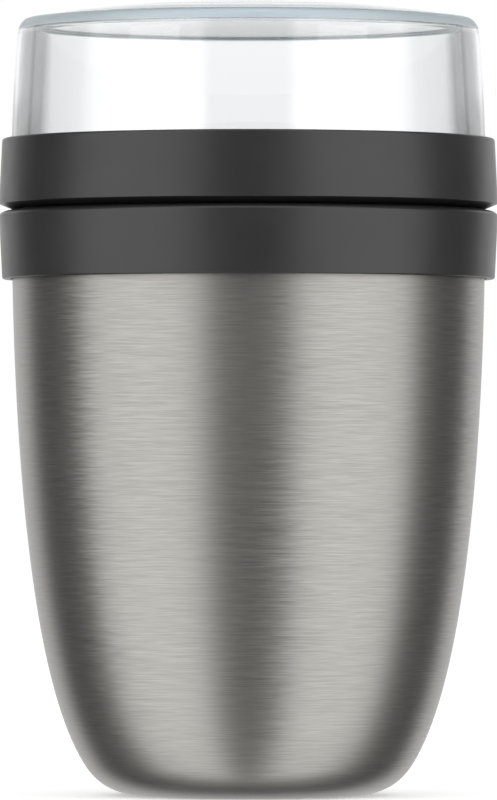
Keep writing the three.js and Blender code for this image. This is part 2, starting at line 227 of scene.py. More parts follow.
def levels():
    """Radii and heights shared by several pieces, from the frame's nodes and the settings."""
    low = {name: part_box(name)[0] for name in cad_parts}
    high = {name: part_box(name)[1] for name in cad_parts}
    pot, collar, cup, plug = (getattr(settings(), g) for g in ("pot", "collar", "cup", "plug"))
    at = SimpleNamespace()
    at.ring = high["lid_collar"].x
    at.flank = at.ring - pot.flank_step
    at.thread_bore = at.ring - collar.ring_wall
    at.neck = at.thread_bore - collar.thread_room
    at.collar_bore = at.neck - collar.neck_wall
    at.neck_steel = at.collar_bore - SEAT_GAP
    at.mouth = at.neck_steel - 2 * pot.wall - SEAT_GAP
    at.rim = high["inner_liner"].x
    at.recess = high["base_cap"].x + SEAT_GAP
    at.plug = high["inner_lid"].x
    at.plug_bore = high["inner_lid_seal"].x + SEAT_GAP
    at.stop_lip = at.plug_bore - collar.stop_lip
    at.boss = at.plug_bore + collar.boss_wall
    at.cup = high["cup_seal"].x
    at.cup_bore = at.cup + SEAT_GAP
    at.snap = high["clear_cup"].x
    at.cup_mouth = at.cup - cup.wall
    at.lid_bottom = low["lid_collar"].z
    at.parting = at.lid_bottom - SEAT_GAP
    at.lid_top = high["lid_collar"].z
    at.skirt_bottom = low["pot_collar"].z
    at.neck_top = high["pot_collar"].z
    at.shoulder = at.skirt_bottom + pot.skirt_overlap
    at.sleeve_bottom = at.shoulder + pot.shoulder_rise + SEAT_GAP
    at.rim_top = high["inner_liner"].z
    at.liner_floor = low["inner_liner"].z + pot.wall
    at.boss_bottom = low["pot_seal"].z
    at.ledge_bottom = high["pot_seal"].z + SEAT_GAP
    at.ledge_top = high["inner_lid"].z
    at.plug_bottom = low["inner_lid"].z
    at.plug_rim_top = at.ledge_top - plug.rim_drop
    at.cup_bottom, at.cup_apex = low["clear_cup"].z, high["clear_cup"].z
    at.snap_bottom = at.cup_bottom + cup.snap_foot
    at.snap_top = at.cup_bottom + cup.snap_head
    return at


def bezier(start, control, end, steps=12):
    """Points of a parabola between two points."""
    points = []
    for step in range(steps + 1):
        t = step / steps
        weights = ((1 - t) ** 2, 2 * t * (1 - t), t * t)
        axes = zip(start, control, end)
        points.append(tuple(sum(w * p for w, p in zip(weights, axis)) for axis in axes))
    return points


def rounded(corners, cut=0.0, steps=6, hold=0.0):
    """Cuts each corner back along both edges and bridges it with a parabola. A corner is a radius
    and a height, with its own cut as a third number where that differs.

    A hold adds a point that far beyond each end of a bridge, so that the shading of a long straight
    edge stays true right up to its rounding."""
    # Most of an edge that a cut and a hold may take up.
    cut_share, hold_share = 0.44, 0.05
    path = []
    for index, corner in enumerate(corners):
        own_cut = corner[2] if len(corner) == 3 else cut
        if not own_cut:
            path.append(corner[:2])
            continue
        here = Vector(corner[:2])
        ends, holds = [], []
        for other in (corners[index - 1], corners[(index + 1) % len(corners)]):
            edge = Vector(other[:2]) - here
            along = edge.normalized()
            reach = min(own_cut, cut_share * edge.length)
            ends.append(here + along * reach)
            holds.append(tuple(here + along * (reach + min(hold, hold_share * edge.length))))
        bridge = bezier(ends[0], here, ends[1], steps)
        path += [holds[0], *bridge, holds[1]] if hold else bridge
    return path


def flank_radius(at, height):
    """Radius of the pot's outside: an egg's flank, widest at the parting plane."""
    pot = settings().pot
    fall = (at.parting - height) / (at.parting + pot.pole_drop)
    return at.flank * (1 - fall * fall) ** pot.flank_power


def liner_radius(at, height):
    pot = settings().pot
    return min(at.mouth, flank_radius(at, height) - pot.vacuum_gap - 2 * pot.wall)


def bowl_side(radius_at, floor, flat, round_height, top, steps=40):
    """Side of a bowl, from the edge of its flat floor round the corner and up to a height."""
    start = floor + round_height
    near = 0.5 * MM
    lean = (radius_at(start + near) - radius_at(start - near)) / (2 * near)
    knee = (radius_at(start) - lean * round_height, floor)
    side = bezier((flat, floor), knee, (radius_at(start), start), 20)
    # More than 1 draws the points together towards the corner, where the side curves most.
    crowding = 1.3
    for step in range(1, steps + 1):
        height = start + (top - start) * (step / steps) ** crowding
        side.append((radius_at(height), height))
    return side


def add_node(tree, kind, links=None, **values):
    """Adds a node, whose kind leaves out ShaderNode or GeometryNode. links maps an input to a value
    or to what is joined to it: a socket or a node's first output. values are its settings."""
    family = next(f for f in ("ShaderNode", "GeometryNode", "") if hasattr(bpy.types, f + kind))
    made = tree.nodes.new(family + kind)
    for name, value in values.items():
        setattr(made, name, value)
    for name, value in (links or {}).items():
        if isinstance(value, bpy.types.Node):
            value = value.outputs[0]
        if isinstance(value, bpy.types.NodeSocket):
            tree.links.new(value, made.inputs[name])
        else:
            made.inputs[name].default_value = value
    return made


def new_geometry_tree(name, inputs):
    """A Geometry Nodes tree with named inputs. Returns the tree and its input node."""
    tree = bpy.data.node_groups.new(name, "GeometryNodeTree")
    tree.is_modifier = True
    for label, kind in inputs.items():
        tree.interface.new_socket(label, in_out="INPUT", socket_type="NodeSocket" + kind)
    tree.interface.new_socket("Piece", in_out="OUTPUT", socket_type="NodeSocketGeometry")
    return tree, tree.nodes.new("NodeGroupInput")


def close_geometry_tree(tree, geometry, material):
    """Ends a tree in plain faces that carry the material."""
    plain = add_node(tree, "RealizeInstances", {"Geometry": geometry})
    dressed = add_node(tree, "SetMaterial", {"Geometry": plain, "Material": material})
    add_node(tree, "NodeGroupOutput", {0: dressed})


def turning_tree():
    """Sweeps an outline, drawn in the XZ plane, once round the Z axis."""
    name = "Turned piece"
    if name in bpy.data.node_groups:
        return bpy.data.node_groups[name]
    tree, given = new_geometry_tree(
        name, {"Outline": "Geometry", "Facets": "Int", "Material": "Material"}
    )
    guide_radius = 1 * MM
    weld = 0.001 * MM
    drawn = add_node(tree, "MeshToCurve", {"Mesh": given.outputs["Outline"]})
    where = add_node(tree, "InputPosition")
    x, _, z = add_node(tree, "SeparateXYZ", {0: where}).outputs
    out = add_node(tree, "Math", {0: x, 1: guide_radius}, operation="SUBTRACT")
    down = add_node(tree, "Math", {0: z, 1: -1.0}, operation="MULTIPLY")
    flat = add_node(tree, "CombineXYZ", {"X": out, "Y": down})
    outline = add_node(tree, "SetPosition", {"Geometry": drawn, "Position": flat})
    guide = add_node(tree, "CurvePrimitiveCircle", {
        "Resolution": given.outputs["Facets"], "Radius": guide_radius,
    })
    upright = add_node(tree, "SetCurveNormal", {"Curve": guide}, mode="Z_UP")
    swept = add_node(tree, "CurveToMesh", {"Curve": upright, "Profile Curve": outline})
    joined = add_node(tree, "MergeByDistance", {"Geometry": swept, "Distance": weld})
    close_geometry_tree(tree, joined, given.outputs["Material"])
    return tree


def thread_tree():
    """Screw thread: ribs that climb a helix on the Z axis, fading out at both ends."""
    name = "Screw thread"
    if name in bpy.data.node_groups:
        return bpy.data.node_groups[name]
    numbers = ("Radius", "Depth", "Root", "Crest", "Rise", "Turns", "Base Height", "First Angle")
    tree, given = new_geometry_tree(
        name, {**dict.fromkeys(numbers, "Float"), "Starts": "Int", "Material": "Material"}
    )
    sizes = given.outputs
    # Shares of the rib's length over which an end fades, of its depth that is sunk in the wall, and
    # of its size that is left at the very end.
    fade_share, sunk_share, end_share = 0.14, 0.2, 0.02
    # Reversed, the spiral climbs as a right-hand thread and its normals point outwards.
    helix = add_node(tree, "CurveSpiral", {
        "Resolution": 96, "Rotations": sizes["Turns"], "Start Radius": sizes["Radius"],
        "End Radius": sizes["Radius"], "Height": sizes["Rise"], "Reverse": True,
    })
    upright = add_node(tree, "SetCurveNormal", {"Curve": helix}, mode="Z_UP")
    along = add_node(tree, "SplineParameter").outputs["Factor"]
    ahead = add_node(tree, "Math", {0: 1.0, 1: along}, operation="SUBTRACT")
    nearest = add_node(tree, "Math", {0: along, 1: ahead}, operation="MINIMUM")
    fade = add_node(tree, "MapRange", {
        "Value": nearest, "From Max": fade_share, "To Min": end_share,
    }, interpolation_type="SMOOTHSTEP")
    depth = sizes["Depth"]
    sunk = add_node(tree, "Math", {0: depth, 1: -sunk_share}, operation="MULTIPLY")
    corners = {}
    for number, (across, width, side) in enumerate((
        (sunk, "Root", -0.5), (depth, "Crest", -0.5), (depth, "Crest", 0.5), (sunk, "Root", 0.5),
    ), start=1):
        up = add_node(tree, "Math", {0: sizes[width], 1: side}, operation="MULTIPLY")
        corners[f"Point {number}"] = add_node(tree, "CombineXYZ", {"X": across, "Y": up})
    section = add_node(tree, "CurvePrimitiveQuadrilateral", corners, mode="POINTS")
    soft = add_node(tree, "FilletCurve", {
        "Curve": section, "Radius": 0.25 * MM, "Count": 3, "Limit Radius": True,
    }, mode="POLY")
    rib = add_node(tree, "CurveToMesh", {
        "Curve": upright, "Profile Curve": soft, "Scale": fade, "Fill Caps": True,
    })
    lift = add_node(tree, "CombineXYZ", {"Z": sizes["Base Height"]})
    points = add_node(tree, "Points", {"Count": sizes["Starts"], "Position": lift})
    share = add_node(tree, "Math", {0: 2 * math.pi, 1: sizes["Starts"]}, operation="DIVIDE")
    index = add_node(tree, "InputIndex")
    angle = add_node(
        tree, "Math", {0: index, 1: share, 2: sizes["First Angle"]}, operation="MULTIPLY_ADD"
    )
    turn = add_node(tree, "CombineXYZ", {"Z": angle})
    ribs = add_node(tree, "InstanceOnPoints", {"Points": points, "Instance": rib, "Rotation": turn})
    close_geometry_tree(tree, ribs, sizes["Material"])
    return tree


def grow(name, tree, source, inputs):
    """A piece that a tree makes from a mesh."""
    grown = bpy.data.objects.new(name, source)
    modifier = grown.modifiers.new(tree.name, "NODES")
    modifier.node_group = tree
    sockets = [item for item in tree.interface.items_tree if item.item_type == "SOCKET"]
    identifiers = {item.name: item.identifier for item in sockets if item.in_out == "INPUT"}
    for label, value in inputs.items():
        modifier[identifiers[label]] = value
    bpy.context.scene.collection.objects.link(grown)
    make_plain(grown)
    return grown


def make_plain(piece, sharp_angle=32):
    """Turns a piece and its modifier into a plain closed mesh, with its faces outwards and shaded
    smooth apart from sharp edges."""
    graph = bpy.context.evaluated_depsgraph_get()
    mesh = bpy.data.meshes.new_from_object(piece.evaluated_get(graph), depsgraph=graph)
    if not mesh.polygons:
        raise RuntimeError(f"{piece.name} came out empty")
    piece.modifiers.clear()
    piece.data = mesh
    mesh.name = piece.name
    work = bmesh.new()
    work.from_mesh(mesh)
    bmesh.ops.recalc_face_normals(work, faces=work.faces)
    work.to_mesh(mesh)
    work.free()
    mesh.shade_smooth()
    mesh.set_sharp_from_angle(angle=math.radians(sharp_angle))


def turned(name, outline, material, ring=True):
    """A turned piece from its outline. A ring's outline closes on itself, clear of the axis."""
    count = len(outline)
    edges = [(i, (i + 1) % count) for i in range(count if ring else count - 1)]
    drawing = bpy.data.meshes.new(name + "_outline")
    drawing.from_pydata([(r, 0.0, z) for r, z in outline], edges, [])
    inputs = {"Facets": settings().pot.facets, "Material": material}
    return grow(name, turning_tree(), drawing, inputs)


def place(piece, body, slot, *nodes):
    """Joins a finished piece to the frame."""
    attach(piece, body)
    if nodes:
        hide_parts(*nodes)


def new_material(name):
    """The material of that name, new or emptied. Returns it and its tree."""
    material = bpy.data.materials.get(name) or bpy.data.materials.new(name)
    material.use_nodes = True
    material.node_tree.nodes.clear()
    return material, material.node_tree


def close_material(tree, inputs):
    """Ends a material's tree in one shader with those inputs. Returns the output node."""
    shader = add_node(tree, "BsdfPrincipled", inputs)
    return add_node(tree, "OutputMaterial", {"Surface": shader})


def own_place(tree):
    """The piece's own X, Y and Z, and the distance from its axis."""
    own = add_node(tree, "TexCoord").outputs["Object"]
    x, y, z = add_node(tree, "SeparateXYZ", {0: own}).outputs
    flat = add_node(tree, "CombineXYZ", {"X": x, "Y": y})
    away = add_node(tree, "VectorMath", {0: flat}, operation="LENGTH").outputs["Value"]
    return x, y, z, away


def turned_place(tree):
    """The piece's own coordinates with the radius added to Z, so that lines round the axis become
    rings on a flat end."""
    x, y, z, away = own_place(tree)
    height = add_node(tree, "Math", {0: z, 1: away}, operation="ADD")
    return add_node(tree, "CombineXYZ", {"X": x, "Y": y, "Z": height})


def stretched_noise(tree, size, detail=2.0, where=None):
    """Noise on the piece's own coordinates. Its grains measure size, in metres along X, Y, Z."""
    where = where or add_node(tree, "TexCoord").outputs["Object"]
    scaled = add_node(tree, "Mapping", {"Vector": where, "Scale": [1 / s for s in size]})
    return add_node(
        tree, "TexNoise", {"Vector": scaled, "Scale": 1.0, "Detail": detail}
    ).outputs["Fac"]


def brushed_steel():
    """Austenitic stainless steel, brushed while the pot turns. Hair lines run round the axis,
    spread highlights up and down, and fray the edges of the broad upright bands."""
    material, tree = new_material("Stainless steel, brushed round")
    colours = settings().colours
    where = turned_place(tree)
    # Real lines are about 0.05 mm; they are drawn about 0.1 mm wide so that they show.
    hair = stretched_noise(tree, (5 * MM, 5 * MM, 0.11 * MM), where=where)
    bands = stretched_noise(tree, (10 * MM, 10 * MM, 0.25 * MM), where=where)
    lines = add_node(tree, "Math", {0: hair, 1: bands}, operation="ADD")
    shade = add_node(tree, "MapRange", {"Value": lines, "From Min": 0.7, "From Max": 1.3})
    tint = add_node(tree, "Mix", {
        MIX_FACTOR: shade, MIX_A: colours.steel_dark, MIX_B: colours.steel_light,
    }, data_type="RGBA")
    rough = add_node(tree, "MapRange", {
        "Value": hair, **NOISE_RANGE, "To Min": 0.36, "To Max": 0.41,
    })
    around = add_node(tree, "Tangent", direction_type="RADIAL", axis="Z")
    sway = add_node(tree, "MapRange", {
        "Value": lines, "From Min": 0.6, "From Max": 1.4, "To Min": -0.02, "To Max": 0.02,
    })
    lean = add_node(tree, "VectorMath", {0: around, "Scale": sway}, operation="SCALE")
    normal = add_node(tree, "NewGeometry").outputs["Normal"]
    swayed = add_node(tree, "VectorMath", {0: normal, 1: lean}, operation="ADD")
    unit = add_node(tree, "VectorMath", {0: swayed}, operation="NORMALIZE")
    close_material(tree, {
        "Base Color": tint.outputs[MIX_RESULT], "Roughness": rough, "Metallic": 1.0,
        "Anisotropic": 0.45, "Anisotropic Rotation": 0.25, "Tangent": around, "Normal": unit,
    })
    return material


def moulded(name, base, fleck, grain, roughness, depth, ior):
    """A moulded polymer skin: a fine eroded grain that softens reflections, and a faint fleck."""
    material, tree = new_material(name)
    skin = stretched_noise(tree, [grain] * 3, 3.0)
    cloud = stretched_noise(tree, [9 * MM] * 3)
    share = add_node(tree, "MapRange", {"Value": skin, **NOISE_RANGE})
    colours = {MIX_FACTOR: share, MIX_A: base, MIX_B: fleck}
    tint = add_node(tree, "Mix", colours, data_type="RGBA")
    rough = add_node(tree, "MapRange", {
        "Value": cloud, **NOISE_RANGE, "To Min": roughness - 0.03, "To Max": roughness + 0.03,
    })
    bump = add_node(tree, "Bump", {"Height": skin, "Strength": 1.0, "Distance": depth})
    close_material(tree, {
        "Base Color": tint.outputs[MIX_RESULT], "Roughness": rough, "IOR": ior, "Normal": bump,
    })
    return material


def collar_plastic():
    """ABS plastic, dark grey, moulded with a fine satin grain of about 0.25 mm."""
    colours = settings().colours
    return moulded(
        "ABS plastic, moulded satin grey", colours.collar, colours.collar_fleck,
        grain=0.25 * MM, roughness=0.36, depth=0.004 * MM, ior=1.54,
    )


def plug_plastic():
    """Polypropylene, white, moulded smooth with a faint grain of about 0.3 mm."""
    colours = settings().colours
    return moulded(
        "Polypropylene, moulded white", colours.plug, colours.plug_fleck,
        grain=0.3 * MM, roughness=0.38, depth=0.003 * MM, ior=1.49,
    )


def satin_corner(tree):
    """1 on the outer corner of the clear cup's closed end, fading to 0 around it."""
    at, cup = levels(), settings().cup
    start, end = at.cup_apex - cup.corner_height, at.cup_apex - cup.crown_rise
    middle = at.cup - cup.taper - (cup.corner + cup.ceiling_wall) / 2
    fade = 0.3 * MM
    _, _, height, away = own_place(tree)
    above, below, outside = (
        add_node(tree, "MapRange", {"Value": value, "From Min": dull, "From Max": satin})
        for value, dull, satin in (
            (height, start - fade, start + fade),
            (height, end, end - fade),
            (away, middle - fade, middle),
        )
    )
    band = add_node(tree, "Math", {0: above, 1: below}, operation="MULTIPLY")
    return add_node(tree, "Math", {0: band, 1: outside}, operation="MULTIPLY")


def clear_plastic():
    """Styrene-acrylonitrile, moulded clear and polished: a crisp surface, and a faint blue that
    only shows along the thick edges. The outer corner of the closed end is left satin, so that it
    gathers the light inside into one soft blue band."""
    material, tree = new_material("Styrene-acrylonitrile, clear")
    colours = settings().colours
    satin_roughness, satin_clearness = 0.45, 0.6
    wisps = stretched_noise(tree, [14 * MM] * 3)
    polish = add_node(tree, "MapRange", {"Value": wisps, **NOISE_RANGE, "To Max": 0.012})
    corner = satin_corner(tree)
    satin = add_node(tree, "Math", {0: corner, 1: satin_roughness}, operation="MULTIPLY")
    rough = add_node(tree, "Math", {0: polish, 1: satin}, operation="MAXIMUM")
    tint = add_node(tree, "Mix", {
        MIX_FACTOR: corner, MIX_A: (1.0, 1.0, 1.0, 1.0), MIX_B: colours.satin,
    }, data_type="RGBA")
    # The satin corner also scatters a little of the light that falls on it.
    clear = add_node(tree, "MapRange", {"Value": corner, "To Min": 1.0, "To Max": satin_clearness})
    output = close_material(tree, {
        "Base Color": tint.outputs[MIX_RESULT], "Roughness": rough, "IOR": 1.545,
        "Transmission Weight": clear,
    })
    body = add_node(tree, "VolumeAbsorption", {"Color": colours.clear, "Density": 7.0})
    tree.links.new(body.outputs[0], output.inputs["Volume"])
    return material


def patchy(name, size, detail, roughness, inputs, relief=0.0):
    """A material whose roughness runs between two values in patches that measure size, and that
    may stand out by a relief."""
    material, tree = new_material(name)
    patches = stretched_noise(tree, size, detail)
    rough = add_node(tree, "MapRange", {
        "Value": patches, **NOISE_RANGE, "To Min": roughness[0], "To Max": roughness[1],
    })
    finish = {"Roughness": rough, **inputs}
    if relief:
        raised = {"Height": patches, "Strength": 0.6, "Distance": relief}
        finish["Normal"] = add_node(tree, "Bump", raised)
    close_material(tree, finish)
    return material


def liner_steel():
    """Stainless steel, deep drawn and electropolished: brighter and smoother than the outside, with
    faint rings from the drawing."""
    return patchy(
        "Stainless steel, electropolished", (50 * MM, 50 * MM, 1.2 * MM), 2.0, (0.16, 0.26),
        {"Base Color": settings().colours.liner, "Metallic": 1.0},
    )


def silicone():
    """Silicone rubber, moulded: milky, soft-edged, with a dry bloom of about 0.5 mm patches."""
    return patchy("Silicone rubber, milky", [0.5 * MM] * 3, 3.0, (0.5, 0.65), {
        "Base Color": settings().colours.silicone, "IOR": 1.41,
        "Subsurface Weight": 0.4, "Subsurface Scale": 1 * MM,
    })


def copper_foil():
    """Copper, rolled to foil: bright, with shallow creases about 6 mm apart."""
    return patchy("Copper foil, bright rolled", [6 * MM] * 3, 2.0, (0.18, 0.3), {
        "Base Color": settings().colours.copper, "Metallic": 1.0,
    }, relief=0.1 * MM)


def sintered_getter():
    """Zirconium alloy, pressed and sintered: dull grey grains of about 0.2 mm."""
    return patchy("Zirconium alloy, sintered", [0.2 * MM] * 3, 3.0, (0.7, 0.95), {
        "Base Color": settings().colours.getter, "Metallic": 1.0,
    })


def fused_glass():
    """Solder glass, fused in place: grey-green and cloudy, with bubbles of about 0.3 mm."""
    return patchy("Solder glass, fused", [0.3 * MM] * 3, 2.0, (0.08, 0.3), {
        "Base Color": settings().colours.glass, "Transmission Weight": 0.5,
    })


class LUNCHPOT_OT_stage(bpy.types.Operator):
    """Set up the floor, the studio light and the camera"""

    bl_idname = "lunchpot.stage"
    bl_label = "Stage"

    def execute(self, context):
        scene = context.scene
        scene.view_settings.view_transform = "Standard"
        # Light runs round inside the clear cup's thick edges many times before it leaves.
        scene.cycles.max_bounces = 32
        scene.cycles.glossy_bounces = 20
        scene.cycles.transmission_bounces = 24
        make_world(scene)
        make_floor()
        make_dome("softbox_dome", 0, 94, 3.2, 1.7, 0)
        make_dome("dark_ring", 85, 137, 3.0, 0.13, 6, ("glossy",))
        make_strip("dark_strip", (-25, 25), (-89, 63), 3.0, 0.2, 6)
        # Seen through the clear cup, the white backdrop is a disc with the grey room round it.
        make_dome("grey_surround", 85, 166, 2.9, 0.4, 5, ("transmission",))
        make_strip("grey_roof", (100, 260), (8.5, 86), 2.8, 0.06, 2, ("transmission",))
        make_softbox("softbox_left", -50)
        make_softbox("softbox_right", 50)
        make_camera(scene)
        return {"FINISHED"}


def sees_background(tree):
    """1 for rays from the camera, a reflection or a clear piece, which meet a white studio."""
    rays = add_node(tree, "LightPath").outputs
    seen, glossy, clear = (rays[f"Is {kind} Ray"] for kind in ("Camera", "Glossy", "Transmission"))
    either = add_node(tree, "Math", {0: seen, 1: glossy}, operation="MAXIMUM")
    return add_node(tree, "Math", {0: either, 1: clear}, operation="MAXIMUM")


def make_world(scene):
    """White where it is looked at, and a softer fill where it lights the matt surfaces."""
    scene.world = bpy.data.worlds.new("White studio")
    scene.world.use_nodes = True
    tree = scene.world.node_tree
    tree.nodes.clear()
    strength = add_node(tree, "MapRange", {"Value": sees_background(tree), "To Min": 0.75})
    sky = add_node(tree, "Background", {"Color": (1, 1, 1, 1), "Strength": strength})
    add_node(tree, "OutputWorld", {"Surface": sky})


def set_piece(name, points, faces, material):
    """A piece of the set, from its points and faces."""
    mesh = bpy.data.meshes.new(name)
    mesh.from_pydata(points, [], faces)
    mesh.materials.append(material)
    piece = bpy.data.objects.new(name, mesh)
    bpy.context.scene.collection.objects.link(piece)
    return piece


def make_floor():
    """A wide matt floor that is lifted to the backdrop's white where it is looked at."""
    material, tree = new_material("Studio floor, matt white")
    matt = add_node(tree, "BsdfDiffuse", {"Color": settings().colours.floor})
    lift = add_node(tree, "MapRange", {"Value": sees_background(tree), "To Max": 0.35})
    glow = add_node(tree, "Emission", {"Strength": lift})
    both = add_node(tree, "AddShader", {0: matt, 1: glow})
    add_node(tree, "OutputMaterial", {"Surface": both})
    reach = 12.0
    points = [(-reach, -reach, 0), (reach, -reach, 0), (reach, reach, 0), (-reach, reach, 0)]
    floor = set_piece("floor", points, [(0, 1, 2, 3)], material)
    floor.visible_glossy = False
    floor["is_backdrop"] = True


def make_dome(name, first, last, radius, glow, soft, seen_by=("glossy", "transmission")):
    """A round card about the camera's axis, between two angles in degrees from the camera's side.
    soft is the width of its faded edges in degrees."""
    def point(turn, lean):
        out = radius * math.sin(lean)
        height = STUDIO_MIDDLE + out * math.sin(turn)
        return (out * math.cos(turn), -radius * math.cos(lean), height)

    make_card(name, point, (0, 360), (first, last), glow, (0, soft), seen_by)


def make_strip(name, turns, leans, radius, glow, soft, seen_by=("glossy", "transmission")):
    """A patch of card, as degrees round the pot from the camera's side and degrees of height."""
    def point(turn, lean):
        out = radius * math.cos(lean)
        height = STUDIO_MIDDLE + radius * math.sin(lean)
        return (out * math.sin(turn), -out * math.cos(turn), height)

    make_card(name, point, turns, leans, glow, (soft, soft), seen_by)


def fade_in(value, ends, soft):
    """0 at either end of a range, rising to 1 at `soft` inside it."""
    return min(1.0, min(value - ends[0], ends[1] - value) / soft) if soft else 1.0


def make_card(name, point, turns, leans, glow, soft, seen_by):
    """A curved card beside the set, with soft edges. Only reflections or clear pieces see it."""
    material, tree = new_material("Card, " + name)
    light = add_node(tree, "Emission", {"Strength": glow})
    cover = add_node(tree, "Attribute", attribute_name="cover").outputs["Fac"]
    clear = add_node(tree, "BsdfTransparent")
    both = add_node(tree, "MixShader", {0: cover, 1: clear, 2: light})
    add_node(tree, "OutputMaterial", {"Surface": both})
    steps = 96
    row = steps + 1
    points, faces, covers = [], [], []
    for i in range(row):
        turn = turns[0] + (turns[1] - turns[0]) * i / steps
        for j in range(row):
            lean = leans[0] + (leans[1] - leans[0]) * j / steps
            points.append(point(math.radians(turn), math.radians(lean)))
            covers.append(fade_in(turn, turns, soft[0]) * fade_in(lean, leans, soft[1]))
    for i in range(steps):
        for j in range(steps):
            corner = i * row + j
            faces.append((corner, corner + row, corner + row + 1, corner + 1))
    card = set_piece(name, points, faces, material)
    card.data.attributes.new("cover", "FLOAT", "POINT").data.foreach_set("value", covers)
    card.visible_camera = False
    card.visible_diffuse = False
    card.visible_shadow = False
    card.visible_glossy = "glossy" in seen_by
    card.visible_transmission = "transmission" in seen_by
    card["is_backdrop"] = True


def aim(thing, target):
    """Points a lamp or a camera at a place."""
    thing.rotation_euler = (Vector(target) - thing.location).to_track_quat("-Z", "Y").to_euler()


def make_softbox(name, azimuth):
    """A broad lamp that reflections don't see, at an angle in degrees from the camera's side."""
    away, height = 1.3, 0.9
    lamp = bpy.data.lights.new(name, "AREA")
    lamp.shape = "RECTANGLE"
    lamp.size, lamp.size_y = 0.8, 1.2
    lamp.energy = 6.0
    box = bpy.data.objects.new(name, lamp)
    angle = math.radians(azimuth)
    box.location = (away * math.sin(angle), -away * math.cos(angle), height)
    aim(box, (0.0, 0.0, 0.08))
    box.visible_glossy = False
    bpy.context.scene.collection.objects.link(box)


def make_camera(scene):
    """A long lens a little below the middle of the pot, tilted up slightly, as in the photo."""
    lens = bpy.data.cameras.new("camera")
    lens.lens = 386.6
    lens.sensor_width = 36.0
    lens.clip_end = 60.0
    camera = bpy.data.objects.new("camera", lens)
    camera.location = (0.0, -1.843, 0.0657)
    aim(camera, (0.0, 0.0, 0.0848))
    scene.collection.objects.link(camera)
    scene.camera = camera


class LUNCHPOT_OT_steel_pot(bpy.types.Operator):
    """Build the brushed steel shell, its base disc and the liner inside it"""

    bl_idname = "lunchpot.steel_pot"
    bl_label = "Steel pot"

    def execute(self, context):
        at = levels()
        steel = brushed_steel()
        outline = shell_face(at, 0.0) + shell_face(at, settings().pot.wall)[::-1]
        shell = turned("pot_shell", outline, steel)
        disc = turned("base_disc", disc_outline(), steel, ring=False)
        liner = turned("pot_liner", liner_outline(at), liner_steel(), ring=False)
        place(shell, "pot", "brushed_steel", "outer_shell")
        place(disc, "pot", "brushed_steel", "base_cap")
        place(liner, "pot", "liner_steel", "inner_liner")
        return {"FINISHED"}


def shell_face(at, inset):
    """One face of the drawn shell, from the vacuum port to the neck, set in from the outside."""
    pot = settings().pot
    side = bowl_side(
        lambda height: flank_radius(at, height) - inset,
        inset, pot.base_flat, pot.base_round, at.shoulder - inset,
    )
    recess_cut, shoulder_cut, neck_cut = 0.5 * MM, 1.2 * MM, 0.8 * MM
    side[-1] += (shoulder_cut,)
    recess = at.recess + inset
    return rounded([
        (pot.port_radius, pot.recess_depth + inset),
        (recess, pot.recess_depth + inset, recess_cut),
        (recess, inset, recess_cut),
        *side,
        (at.neck_steel - inset, at.shoulder + pot.shoulder_rise - inset, neck_cut),
        (at.neck_steel - inset, at.neck_top),
    ])


def disc_outline():
    """Disc in the base recess, with a shallow pressed step."""
    low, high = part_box("base_cap")
    step = 0.25 * MM
    middle = 0.72 * high.x
    return rounded([
        (0.0, low.z + step),
        (middle, low.z + step, 0.3 * MM),
        (middle + step, low.z, 0.3 * MM),
        (high.x, low.z, SOFT_EDGE),
        (high.x, high.z, SOFT_EDGE),
        (0.0, high.z),
    ])


def liner_face(at, outset):
    """One face of the liner below its rim, set out from the inside."""
    pot = settings().pot
    floor = at.liner_floor - outset
    side = bowl_side(
        lambda height: liner_radius(at, height) + outset,
        floor, pot.liner_flat, pot.liner_round, at.shoulder,
    )
    return [(0.0, floor)] + side


def liner_outline(at):
    """The liner, whose rim turns outwards over the neck."""
    wall = settings().pot.wall
    return rounded([
        *liner_face(at, wall),
        (at.mouth + wall, at.rim_top - wall, 0.2 * MM),
        (at.rim, at.rim_top - wall, 0.25 * MM),
        (at.rim, at.rim_top, 0.25 * MM),
        (at.mouth, at.rim_top, 0.7 * MM),
        *liner_face(at, 0.0)[::-1],
    ])


class LUNCHPOT_OT_collars(bpy.types.Operator):
    """Build the pot's collar and the lid's collar"""

    bl_idname = "lunchpot.collars"
    bl_label = "Collars"

    def execute(self, context):
        at = levels()
        plastic = collar_plastic()
        lower = turned("collar_lower", pot_collar_outline(at), plastic)
        upper = turned("collar_upper", lid_collar_outline(at), plastic)
        place(lower, "pot", "grey_plastic", "pot_collar")
        place(upper, "lid", "grey_plastic", "lid_collar")
        return {"FINISHED"}


def pot_collar_outline(at):
    """The pot's collar: a skirt over the flank, a deck, and the neck that carries the thread."""
    collar = settings().collar
    skirt_bore = at.flank + SEAT_GAP
    deck_bottom = at.parting - collar.deck
    groove = bezier(
        (at.ring, at.parting - collar.groove_lower),
        (at.ring - collar.groove_lip, at.parting),
        (at.ring - collar.groove_depth, at.parting),
    )
    groove[0] += (0.12 * MM,)
    return rounded([
        (at.collar_bore, at.sleeve_bottom),
        (at.neck, at.sleeve_bottom),
        (at.neck, deck_bottom),
        (skirt_bore, deck_bottom),
        (skirt_bore, at.skirt_bottom, 0.2 * MM),
        (at.ring - collar.taper, at.skirt_bottom, 0.5 * MM),
        *groove,
        (at.neck, at.parting, 0.4 * MM),
        (at.neck, at.neck_top, 0.5 * MM),
        (at.collar_bore, at.neck_top, 0.3 * MM),
    ])


